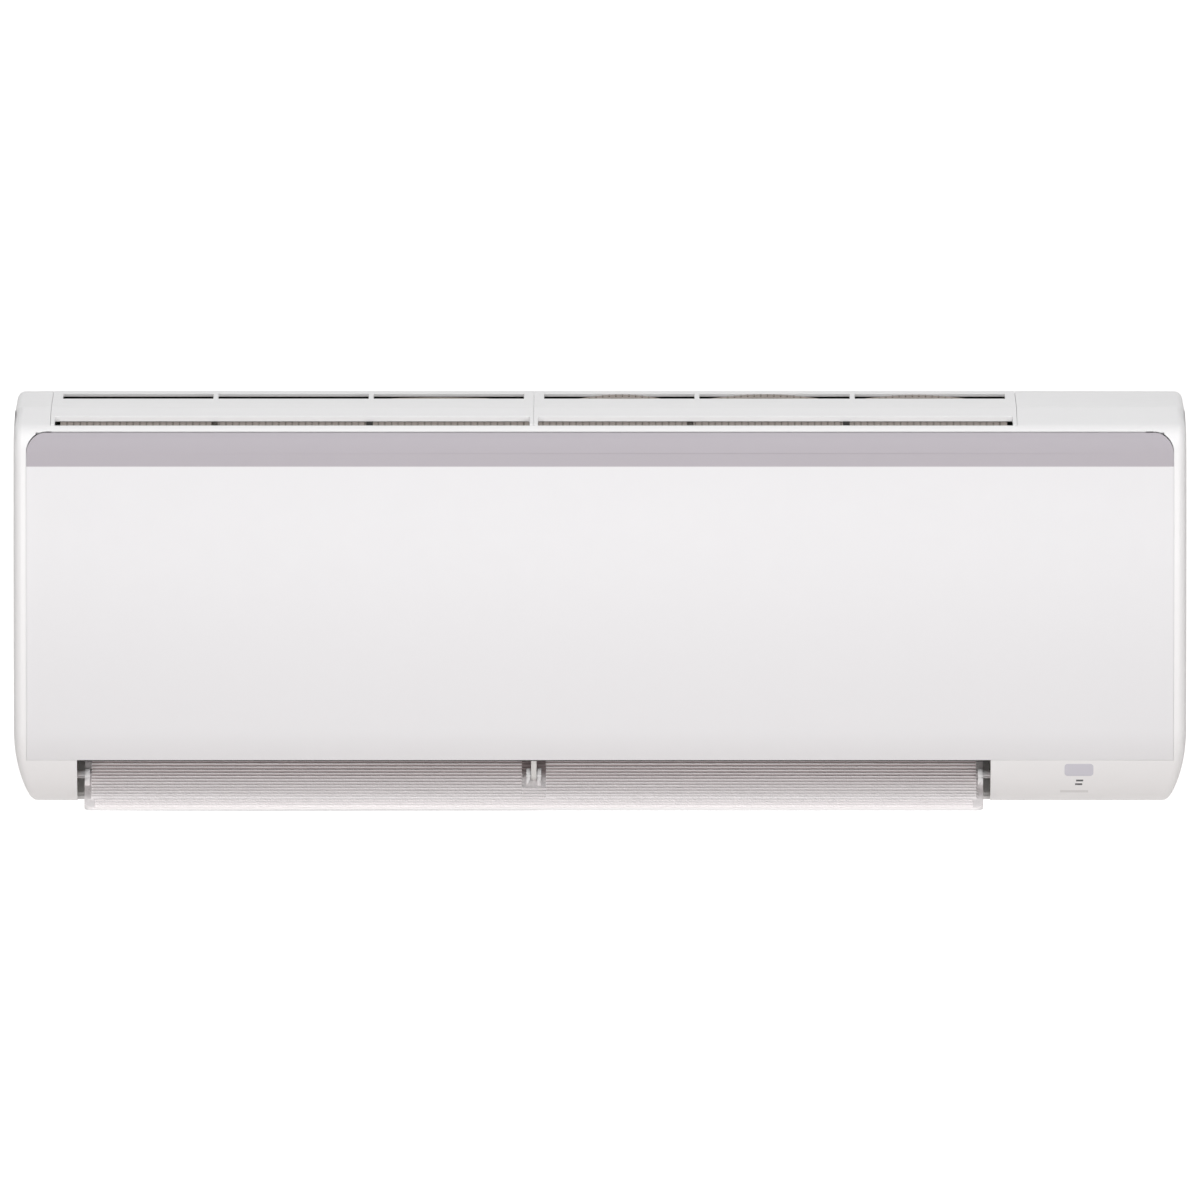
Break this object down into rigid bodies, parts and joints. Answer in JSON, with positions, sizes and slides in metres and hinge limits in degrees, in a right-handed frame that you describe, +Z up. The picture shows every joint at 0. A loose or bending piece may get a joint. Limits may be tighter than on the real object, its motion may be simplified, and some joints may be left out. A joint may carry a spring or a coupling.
{
  "type": "split air conditioner indoor unit",
  "caption": "Wall-hung indoor unit of a split air conditioner: a wide white casing with a hinged front panel under a grey band, a top intake and a ribbed outlet flap standing open.",
  "frame": {"origin": "middle of the wall plate's back face, on the wall, at half the body's height", "axes": "+Z up, -Y out of the wall toward the room, +X to the right as seen from the room"},
  "size_m": [0.885, 0.229, 0.3014],
  "materials": {
    "zinc_steel": "galvanised sheet",
    "frame_grey": "moulded, matt",
    "casing_white": "fine matt moulding",
    "panel_white": "semi-gloss moulding",
    "band_grey": "mauve-grey satin film",
    "filter_grey": "woven net in a moulded frame",
    "fin_aluminium": "pressed fins",
    "duct_beige": "moulded, matt",
    "pan_grey": "moulded, with a foam skin under it",
    "fan_grey": "moulded, matt",
    "vane_white": "moulded, matt",
    "flap_white": "moulded, matt",
    "window_lilac": "translucent smoked lens",
    "lamp_dark": "lamp lens, unlit",
    "switch_grey": "moulded, matt"
  },
  "bodies": {
    "unit": {"wall_plate": "zinc_steel", "rear_frame": "frame_grey", "front_casing": "casing_white", "intake_grille_left": "casing_white", "intake_grille_right": "casing_white", "air_filter_left": "filter_grey", "air_filter_right": "filter_grey", "coil_front": "fin_aluminium", "coil_upper": "fin_aluminium", "coil_rear": "fin_aluminium", "drain_pan": "pan_grey", "duct_side_left": "duct_beige", "duct_side_right": "duct_beige", "fan_rotor": "fan_grey", "vanes_left": "vane_white", "vanes_right": "vane_white", "flap_bracket": "vane_white", "receiver_window": "window_lilac", "lamp_lenses": "lamp_dark", "switch_bar": "switch_grey", "pipe_cover_left": "casing_white", "pipe_cover_right": "casing_white"},
    "panel": {"front_panel": "panel_white", "panel_band": "band_grey", "panel_arm_left": "casing_white", "panel_arm_right": "casing_white"},
    "flap": {"flap": "flap_white"}
  },
  "joints": [
    {"name": "panel_hinge", "type": "hinge", "parent": "unit", "child": "panel", "pos_m": [0, -0.2045, 0.135], "axis": [-1, 0, 0], "range_deg": [0, 65]},
    {"name": "flap_hinge", "type": "hinge", "parent": "unit", "child": "flap", "pos_m": [-0.05, -0.18, -0.127], "axis": [-1, 0, 0], "range_deg": [-10, 68]}
  ]
}
